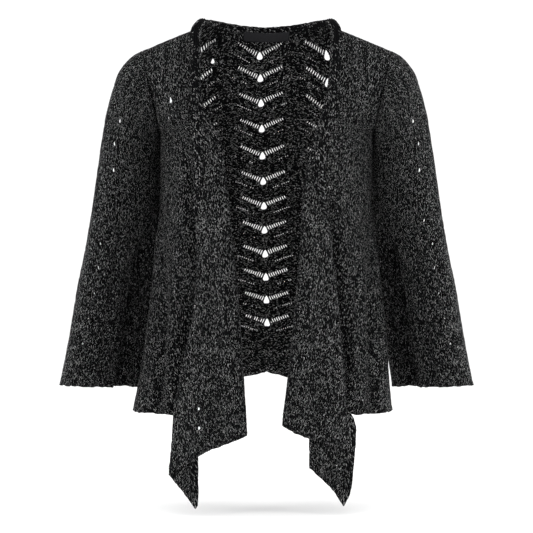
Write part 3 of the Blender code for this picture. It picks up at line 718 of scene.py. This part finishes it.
# ---------------------------------------------------------------- materials
class Nodes:
    """Shorthand for building a shader out of math nodes."""

    def __init__(self, name):
        self.material = bpy.data.materials.new(name)
        self.material.use_nodes = True
        self.tree = self.material.node_tree
        self.shader = self.tree.nodes["Principled BSDF"]

    def add(self, kind, **values):
        node = self.tree.nodes.new(kind)
        for key, value in values.items():
            setattr(node, key, value)
        return node

    def put(self, socket, value):
        if isinstance(value, bpy.types.NodeSocket):
            self.tree.links.new(value, socket)
        else:
            socket.default_value = value

    def set(self, name, value):
        """Sets one of the shader's own sockets."""
        self.shader.inputs[name].default_value = value

    def bump(self, height, strength, distance):
        node = self.add("ShaderNodeBump")
        self.put(node.inputs["Strength"], strength)
        self.put(node.inputs["Distance"], distance * MM)
        self.put(node.inputs["Height"], height)
        self.put(self.shader.inputs["Normal"], node.outputs[0])

    def math(self, operation, *inputs, clamp=False):
        node = self.add("ShaderNodeMath", operation=operation, use_clamp=clamp)
        for socket, value in zip(node.inputs, inputs):
            self.put(socket, value)
        return node.outputs[0]

    def vector(self, x, y, z=0.0):
        node = self.add("ShaderNodeCombineXYZ")
        for socket, value in zip(node.inputs, (x, y, z)):
            self.put(socket, value)
        return node.outputs[0]

    def random(self, x, y, z=0.0):
        node = self.add("ShaderNodeTexWhiteNoise", noise_dimensions="3D")
        self.put(node.inputs["Vector"], self.vector(x, y, z))
        return node.outputs["Value"]

    def noise(self, place, scale, detail=2.0, rough=0.5):
        node = self.add("ShaderNodeTexNoise", noise_dimensions="3D")
        self.put(node.inputs["Vector"], place)
        self.put(node.inputs["Scale"], scale)
        self.put(node.inputs["Detail"], detail)
        self.put(node.inputs["Roughness"], rough)
        return node.outputs["Fac"]

    def spread(self, value, low, high, out_low=0.0, out_high=1.0):
        node = self.add("ShaderNodeMapRange", interpolation_type="SMOOTHSTEP")
        for socket, given in zip(node.inputs, (value, low, high, out_low, out_high)):
            self.put(socket, given)
        return node.outputs[0]

    def mix(self, share, a, b):
        node = self.add("ShaderNodeMix", data_type="RGBA")
        self.put(node.inputs["Factor"], share)
        self.put(node.inputs["A"], a)
        self.put(node.inputs["B"], b)
        return node.outputs["Result"]


# YARN_LOW is the dark end of the yarn's random tone and also its painted shade low between the stitches' legs
YARN_LOW = (0.0014, 0.0015, 0.0019)
YARN_HIGH = (0.007, 0.007, 0.0075)
GLINT_LEAST = 0.12  # the dullest thread, as a share of the brightest
SHOWN_FROM, SHOWN_FULL = 1.04, 1.1  # chance, less the fleck, at which the silver thread comes out of the yarn
PARTS_OF_CHANCE = (0.55, 0.6, 0.12, 0.06)  # by stitch, by twist, along a wale, over the cloth


def knit_material(name, wide=STITCH_WIDE, tall=STITCH_TALL, fleck=0.145, light=0.9, purl=False, relief=0.9,
                  base=1.0, fleck_below=()):
    """Black yarn plied with a silver thread: stocking stitch, or its purl side.

    wide and tall are a stitch's size, fleck is how much silver shows, light is its brightness, base that of
    the yarn, and fleck_below is (coordinate, coordinate, fleck) from the first of which the fleck changes.
    """
    n = Nodes(name)
    split = n.add("ShaderNodeSeparateXYZ")
    uv = n.add("ShaderNodeUVMap", uv_map="stitches").outputs[0]
    n.put(split.inputs[0], uv)
    # s counts wales and t courses, both swayed a little
    sway = n.noise(uv, 8.0, 2.0)
    s = n.math("ADD", n.math("MULTIPLY", split.outputs[0], UV_UNIT / wide), n.math("MULTIPLY", sway, 1.2))
    t = n.math("ADD", n.math("MULTIPLY", split.outputs[1], UV_UNIT / tall), n.math("MULTIPLY", sway, 0.8))
    # fewer flecks above the first coordinate: on the rib this darkens the top of each front band, as painted shade
    # where it turns in at the neck
    if fleck_below:
        fleck = n.spread(split.outputs[1], fleck_below[0], fleck_below[1], fleck, fleck_below[2])
    # two leaning legs of a stitch, or the bow of a purl stitch
    wale = n.math("FLOOR", s)
    a = n.math("SUBTRACT", n.math("FRACT", s), 0.5)
    x = n.math("MULTIPLY", n.math("ABSOLUTE", a), 2.0)
    if purl:
        lean = n.math("MULTIPLY", n.math("SUBTRACT", 1.0, n.math("MULTIPLY", x, x)), 0.45)
        side = 0.0
    else:
        lean = n.math("MULTIPLY", x, 1.1)
        side = n.math("MULTIPLY", n.math("SIGN", a), 0.25)
    t2 = n.math("ADD", t, lean)
    cell = n.math("FLOOR", t2)
    b = n.math("MULTIPLY", n.math("ABSOLUTE", n.math("SUBTRACT", n.math("FRACT", t2), 0.5)), 2.0)
    along_b = n.math("SUBTRACT", 1.0, n.math("MULTIPLY", b, b))
    if purl:
        along_x = n.math("SUBTRACT", 1.0, n.math("MULTIPLY", x, 0.35))
    else:
        inner = n.math("MULTIPLY", n.math("ABSOLUTE", n.math("SUBTRACT", x, 0.5)), 2.0)
        along_x = n.math("SUBTRACT", 1.0, n.math("POWER", inner, 2.5))
    height = n.math("MULTIPLY", along_b, along_x)
    # chance for each stitch and each twist of the ply
    stitch = n.random(n.math("ADD", wale, side), cell, 3.0)
    tone = n.random(n.math("ADD", wale, side), cell, 11.0)
    ply = n.math("ADD", n.math("MULTIPLY", t2, 2.0), n.math("MULTIPLY", n.math("SUBTRACT", x, 0.5), 1.3))
    twist = n.random(n.math("ADD", wale, side), n.math("FLOOR", ply), 31.0)
    turn = n.math("MULTIPLY", n.math("ABSOLUTE", n.math("SUBTRACT", n.math("FRACT", ply), 0.5)), 2.0)
    streak = n.noise(n.vector(n.math("MULTIPLY", wale, 0.9), n.math("MULTIPLY", t2, 0.3), side), 1.0, 1.0)
    cloud = n.noise(uv, 5.0, 2.0)
    parts = [n.math("MULTIPLY", part, share) for part, share in zip((stitch, twist, streak, cloud), PARTS_OF_CHANCE)]
    chance = parts[0]
    for part in parts[1:]:
        chance = n.math("ADD", chance, part)
    shown = n.spread(chance, n.math("SUBTRACT", SHOWN_FROM, fleck), n.math("SUBTRACT", SHOWN_FULL, fleck))
    thread = n.math("MULTIPLY", shown, n.spread(height, 0.15, 0.6))
    thread = n.math("MULTIPLY", thread, n.spread(turn, 1.0, 0.5))
    # colours of the yarn and of the thread: the yarn's random tone, darkened low between the legs of each stitch as
    # painted shade
    tone = n.math("MULTIPLY", n.math("ADD", tone, twist), 0.5)
    tone_and_painted_shade = n.math("MULTIPLY", n.math("POWER", tone, 1.6), n.spread(height, 0.0, 0.8, 0.1, 1.0))
    yarn = n.mix(tone_and_painted_shade, *[tuple(base * v for v in colour) + (1,) for colour in (YARN_LOW, YARN_HIGH)])
    glint = n.math("POWER", n.random(n.math("ADD", wale, side), n.math("FLOOR", ply), 23.0), 1.2)
    silver = n.mix(glint, (light * GLINT_LEAST,) * 3 + (1,), (light,) * 3 + (1,))
    n.put(n.shader.inputs["Base Color"], n.mix(thread, yarn, silver))
    n.put(n.shader.inputs["Metallic"], n.math("MULTIPLY", thread, 0.75))
    n.put(n.shader.inputs["Roughness"], n.math("SUBTRACT", 0.92, n.math("MULTIPLY", thread, 0.45)))
    n.set("Sheen Weight", 0.004)
    n.set("Sheen Roughness", 0.6)
    n.set("Specular IOR Level", 0.03)
    fuzz = n.noise(uv, 260.0, 2.0)
    n.bump(n.math("ADD", height, n.math("MULTIPLY", fuzz, 0.35)), 0.85, relief)
    return n.material


LABEL_WEFT, LABEL_WARP = 0.5, 1.6  # distance between its threads


def label_material():
    """Bare black satin."""
    n = Nodes("label satin")
    split = n.add("ShaderNodeSeparateXYZ")
    uv = n.add("ShaderNodeUVMap", uv_map="stitches").outputs[0]
    n.put(split.inputs[0], uv)
    weft = n.math("SINE", n.math("MULTIPLY", split.outputs[1], UV_UNIT * math.tau / LABEL_WEFT))
    warp = n.math("SINE", n.math("MULTIPLY", split.outputs[0], UV_UNIT * math.tau / LABEL_WARP))
    cloud = n.noise(uv, 30.0, 3.0)
    weave = n.math("MULTIPLY", n.math("ADD", weft, n.math("MULTIPLY", warp, 0.5)), 0.3)
    shade = n.math("ADD", cloud, weave, clamp=True)
    n.put(n.shader.inputs["Base Color"], n.mix(shade, (0.004, 0.004, 0.005, 1), (0.012, 0.012, 0.014, 1)))
    n.set("Roughness", 0.5)
    n.set("Specular IOR Level", 0.15)
    n.bump(weave, 0.3, 0.2)
    return n.material


knit = knit_material("knit outside")
knit_in = knit_material("knit inside", wide=1.7, tall=1.3, fleck=0.17, light=0.8, purl=True, relief=0.7)
# rib: its silver thins above 150 mm down each front band, least above 70 mm, as painted shade on the band where it
# turns in at the neck
rib = knit_material(
    "rib", wide=3.2, tall=2.2, fleck=0.1, light=0.5, relief=0.6, base=0.8, fleck_below=(0.7, 1.5, 0.24),
)
satin = label_material()

CUT_SPARE = 1.02  # least size of a cut's rectangle, as a share of its area


def stitch_uv(across, down, centre):
    """Stitch coordinates in millimetres: courses follow the chevrons."""
    return np.stack([across, down + rise(chevron_phase(across, centre))], -1)


def declare(obj, wide, tall):
    """States the cut of a piece of cloth, in metres, by the area that its middle surface has."""
    area = sum(p.area for p in obj.data.polygons)
    wide = max(wide, area / tall * CUT_SPARE)
    print(obj.name, "cut", round(wide, 3), round(tall, 3), "area", round(area, 4))


# Creases: (place at the top, place at the foot, first row, last row, half width, lift), lift outwards
FRONT_CREASES = {
    "right": (
        (-57, -68, 0.24, 0.66, 9, -11), (-64, -122, 0.58, 1.0, 9, -15), (-84, -132, 0.42, 1.0, 9, 5),
        (-122, -152, 0.5, 1.0, 9, -7), (-150, -172, 0.35, 0.9, 12, 4), (-96, -70, 0.05, 0.3, 14, -4),
        (18, 28, 0.35, 1.0, 8, -3.5), (40, 54, 0.45, 1.0, 7, 3),
    ),
    "left": (
        (-32, -112, 0.34, 1.0, 9, -15), (-86, -136, 0.4, 1.0, 10, 5), (-124, -152, 0.55, 1.0, 8, -7),
        (-152, -172, 0.4, 0.95, 12, 4), (-92, -66, 0.06, 0.28, 13, -4), (16, 32, 0.4, 1.0, 8, -3.5),
        (40, 60, 0.5, 1.0, 7, 3),
    ),
}
# Larger holes of a loosely worked stitch: (length across, drop, width share, height share)
FRONT_EXTRA = {
    "right": (
        (-51.4, 99.5, 0.5, 0.85), (-62.4, 122.4, 0.45, 0.7), (75.8, 547.0, 0.7, 0.5),
        (159.8, 504.9, 1.0, 0.9), (-81.1, 592.9, 0.9, 0.6), (78.9, 573.8, 0.6, 0.45), (168.0, 573.8, 0.3, 0.3),
    ),
    "left": ((-104.6, 592.9, 0.3, 0.25), (-130.8, 589.0, 0.34, 0.25), (229.6, 583.0, 0.2, 0.2)),
}
BACK_EXTRA = ((-83.4, 35.5, 0.65, 0.55), (-152.7, 77.4, 0.8, 0.95), (-161.9, 96.8, 0.8, 0.9))
SLEEVE_EXTRA = {
    "right": (
        (-52.4, 153.1, 0.3, 0.3), (53.2, 153.1, 0.3, 0.3), (-48.9, 256.2, 0.32, 0.3), (53.4, 256.2, 0.32, 0.3),
    ),
    "left": (
        (-63.0, 143.8, 0.3, 0.3), (66.4, 146.9, 0.3, 0.3), (-67.5, 375.0, 0.3, 0.3), (76.8, 378.1, 0.3, 0.3),
    ),
}
SLEEVE_CREASES = (
    (-70, -86, 0.25, 1.0, 10, -8), (-112, -120, 0.38, 1.0, 9, 4.5), (-34, -44, 0.4, 1.0, 12, 4),
    (-140, -128, 0.3, 0.85, 8, -5), (60, 72, 0.3, 1.0, 11, -7), (104, 112, 0.42, 1.0, 10, 4.5),
    (20, 28, 0.5, 1.0, 9, -3), (-60, -20, 0.06, 0.3, 13, -3),
)


# ---------------------------------------------------------------- pieces
ACROSS_STEP = 1.5  # distance and share of the rows over which a panel's slope is taken
ROW_STEP = 0.004
LAST_ROW = 1 - 1e-6


def knit_panel(name, surface, last, centre, courses, inside, nodes, weld=False, marks=(), creases=(), **lace):
    """Piece of chevron lace on a surface, with its creases and its cast-off edge at the hem."""
    first, tall = surface["first"], surface["tall"]
    holes = lace_holes(surface, first, last, centre, courses, **lace)
    across, row, faces = cloth_flat(surface, first, last, holes, top_marks=marks)
    verts = place(surface, across, row)
    sideways = place(surface, across + ACROSS_STEP, row) - place(surface, across - ACROSS_STEP, row)
    down = place(surface, across, np.minimum(row + ROW_STEP, 1)) - place(surface, across, np.maximum(row - ROW_STEP, 0))
    normal = unit(np.cross(sideways, down))
    if surface["mirrored"]:
        faces = faces[:, ::-1]
        normal = -normal
    verts = verts + normal * crease_lift(creases, across, row)[:, None]
    hem = smooth(row, 1 - CAST_OFF / tall, 1)
    knots = bumps(verts, CAST_OFF_SIZE, 6)
    verts = verts + normal * (hem * (CAST_OFF_LIFT[0] + CAST_OFF_LIFT[1] * knots))[:, None]
    verts = verts + unit(down) * ((row > LAST_ROW) * bumps(verts, KNOT_SIZE, 9) * CAST_OFF_KNOTS)[:, None]
    uv = stitch_uv(across, row * tall, centre[0] + (centre[1] - centre[0]) * row)
    return make_piece(name, verts, faces, uv, KNIT_WALL, [knit, inside], nodes, PANEL_RELIEF, weld)


def ribbed_strip(name, points, uv, ribs, depth, node):
    """Strip of 1x1 rib: ridges along its length, and knots at its free edge. points: rows along, columns across."""
    rows, columns = points.shape[:2]
    outwards = np.gradient(points, axis=1)
    normal = unit(np.cross(np.gradient(points, axis=0), outwards))
    share = np.linspace(0, 1, columns)
    wave = -np.cos(share * math.tau * ribs) * depth
    points = points + normal * wave[None, :, None]
    knots = bumps(points.reshape(-1, 3), KNOT_SIZE, 9).reshape(rows, columns)
    points = points + unit(outwards) * (knots * smooth(share, RIB_KNOTS_FROM, 1.0) * RIB_KNOTS)[:, :, None]
    quads = grid_faces(rows, columns)
    verts, flat_uv = points.reshape(-1, 3), uv.reshape(-1, 2)
    return make_piece(name, verts, quads, flat_uv, KNIT_WALL, [rib], [node], RIB_RELIEF)


back = back_surface()
corner_marks = [float(np.interp(x, back["points"][0][:, 0], back["arc"][0])) for x in (-NECK_OUT, NECK_OUT)]
back_courses = [float(along(BACK_COURSES, k)) for k in range(BACK_CHEVRONS)]
declare(knit_panel(
    "back", back, back["last"], BACK_CENTRE, back_courses, knit_in, ["back_panel"],
    marks=corner_marks, extra=BACK_EXTRA,
), 0.45, 0.535)

BAND_ROWS, BAND_COLUMNS = 300, 26

for side in ("right", "left"):
    front = front_surface(side)
    band_start = front["last"] - BAND_WIDTH
    declare(knit_panel(
        "front_knit_" + side, front, band_start, FRONT_CENTRE[side],
        np.arange(FRONT_FIRST_COURSE, front["tall"], REPEAT_DOWN), knit, ["front_" + side],
        creases=FRONT_CREASES[side], size=0.62, dots=False, avoid=[np.zeros(ROWS + 1)], sway=3.0,
        extra=FRONT_EXTRA[side],
    ), 0.26, 0.64)

    rows = np.linspace(0, 1, BAND_ROWS)
    wide = np.linspace(0, 1, BAND_COLUMNS) * BAND_WIDTH
    across = edge(band_start, rows)[:, None] + wide
    points = place(front, across.ravel(), np.repeat(rows, BAND_COLUMNS)).reshape(BAND_ROWS, BAND_COLUMNS, 3)
    uv = np.stack([np.tile(wide, BAND_ROWS), np.repeat(rows * front["tall"], BAND_COLUMNS)], -1)
    declare(ribbed_strip("band_" + side, points, uv, 5, 0.55, "front_band_" + side), 0.018, 0.62)

    sleeve = sleeve_surface(side)
    declare(knit_panel(
        "sleeve_knit_" + side, sleeve, sleeve["last"], (REPEAT_ACROSS / 2,) * 2,
        np.arange(SLEEVE_FIRST_COURSE, sleeve["tall"], REPEAT_DOWN), knit_in,
        ["sleeve_" + side + "_front", "sleeve_" + side + "_back"],
        weld=True, creases=SLEEVE_CREASES, size=0.68, dots=False, sway=6.5, extra=SLEEVE_EXTRA[side],
    ), 0.36, 0.5)


NECKBAND_FROM = 1.0  # degrees round the neck where it starts
NECKBAND_OUT = (1.0, 4.5)  # how far its top leans out at the ends: evenly, and more towards the top
NECKBAND_IN = 3.0  # how far it leans in at the back
NECKBAND_LOW = 0.42  # share of its height that its ends lack
NECKBAND_TALLER = 1.08  # for the yarn's own height at its edge


def neckband_points(columns=240, rows=20):
    """Grid of the neckband, one row for each step along the neck."""
    turn = np.radians(np.linspace(NECKBAND_FROM, 180.0 - NECKBAND_FROM, columns))
    x = NECK_OUT * np.cos(turn)
    y, z = neck_curve(x)
    up = np.linspace(0, 1, rows)[:, None]
    lean_out = np.cos(turn) ** 3 * (NECKBAND_OUT[0] * up + NECKBAND_OUT[1] * up**2.5)
    lean_in = NECKBAND_IN * np.sin(turn) ** 2 * up
    low = 1 - NECKBAND_LOW * np.abs(np.cos(turn)) ** 12
    height = z + NECKBAND_HEIGHT * NECKBAND_TALLER * up * low
    return np.stack([x + lean_out, y - lean_in, height], -1).transpose(1, 0, 2)


band = neckband_points()
run = lengths(band[:, 0])
band_rows = band.shape[1]
uv = np.stack([np.tile(np.linspace(0, NECKBAND_HEIGHT, band_rows), len(run)), np.repeat(run, band_rows)], -1)
declare(ribbed_strip("neckband", band, uv, 4, 0.5, "neckband_back"), 0.0145, 0.25)

x = np.linspace(-LABEL_HALF, LABEL_HALF, 57)
y, z = neck_curve(x)
below = np.linspace(-LABEL_ABOVE, LABEL_TALL - LABEL_ABOVE, 15)[:, None]
slope = np.where(below > 0, LABEL_SLOPE[1], LABEL_SLOPE[0]) * below
label = np.stack([x + 0 * below, y + slope - KNIT_WALL / 2 - LABEL_CLEAR, z - below], -1)
label_uv = np.stack([x + 0 * below, below + 0 * x], -1).reshape(-1, 2)
declare(make_piece(
    "bare_label", label.reshape(-1, 3), grid_faces(*label.shape[:2]), label_uv, LABEL_WALL, [satin],
    ["neck_label"],
), 0.071, 0.0145)

# ---------------------------------------------------------------- stage, in metres
FLOOR = -0.724
FLOOR_FRONT, FLOOR_BACK, FLOOR_HALF = -9.0, 6.5, 10.0
SWEEP_ROUND = 2.0  # how the floor curves up into the wall
WALL_TOP = 6.0
PAPER = 0.98
LIGHTS = (
    # name, place, target, size, power
    ("key", (-2.7, -2.0, 0.9), (0, 0, -0.35), (1.3, 1.5), 31),
    ("fill", (2.7, -2.0, 0.9), (0, 0, -0.35), (1.3, 1.5), 25),
    ("high", (0, -2.4, 2.4), (0, 0, -0.6), (3.4, 1.8), 20),
    ("paper left", (-2.6, 1.0, 1.4), (0.2, 1.2, -0.75), (1.8, 2.2), 20),
    ("paper right", (2.6, 1.0, 1.4), (-0.2, 1.2, -0.75), (1.8, 2.2), 20),
    ("low left", (-1.5, 0.3, -0.5), (0, 0.2, -0.72), (1.2, 0.24), 7),
    ("low right", (1.5, 0.3, -0.5), (0, 0.2, -0.72), (1.2, 0.24), 7),
)
PHOTO_PIXELS = 533
PIXEL = 0.0015  # size of a pixel of the photo at the middle of the garment
CAMERA_AWAY = 3.0
CAMERA_HEIGHT = -0.364
SENSOR = 36.0  # millimetres


def plain(name, colour, roughness=0.9):
    n = Nodes(name)
    n.set("Base Color", (*colour, 1))
    n.set("Roughness", roughness)
    n.set("Specular IOR Level", 0.0)
    return n.material


profile = [(FLOOR_FRONT, FLOOR)] + [
    (FLOOR_BACK + SWEEP_ROUND * math.sin(a), FLOOR + SWEEP_ROUND * (1 - math.cos(a)))
    for a in np.linspace(0, math.pi / 2, 25)
] + [(FLOOR_BACK + SWEEP_ROUND, WALL_TOP)]
sweep = bpy.data.meshes.new("floor")
corners = [(x, y, z) for y, z in profile for x in (-FLOOR_HALF, FLOOR_HALF)]
sweep.from_pydata(corners, [], [(2 * k, 2 * k + 1, 2 * k + 3, 2 * k + 2) for k in range(len(profile) - 1)])
for polygon in sweep.polygons:
    polygon.use_smooth = True
sweep.materials.append(plain("paper", (PAPER,) * 3))
add_to_scene("floor", sweep)

for name, place_at, target, size, power in LIGHTS:
    data = bpy.data.lights.new(name, "AREA")
    data.shape = "RECTANGLE"
    data.size, data.size_y = size
    data.energy = power
    lamp = add_to_scene(name, data)
    lamp.location = place_at
    lamp.rotation_euler = (Vector(target) - Vector(place_at)).to_track_quat("-Z", "Y").to_euler()

world = bpy.data.worlds.new("studio")
world.use_nodes = True
world.node_tree.nodes["Background"].inputs[0].default_value = (1, 1, 1, 1)
world.node_tree.nodes["Background"].inputs[1].default_value = 1.0
bpy.context.scene.world = world
bpy.context.scene.view_settings.view_transform = "Standard"
bpy.context.scene.view_settings.look = "None"

lens = bpy.data.cameras.new("camera")
lens.sensor_width = SENSOR
lens.lens = SENSOR * CAMERA_AWAY / (PHOTO_PIXELS * PIXEL)
camera = add_to_scene("camera", lens)
camera.location = (0.0, -CAMERA_AWAY, CAMERA_HEIGHT)
camera.rotation_euler = (math.pi / 2, 0, 0)
bpy.context.scene.camera = camera
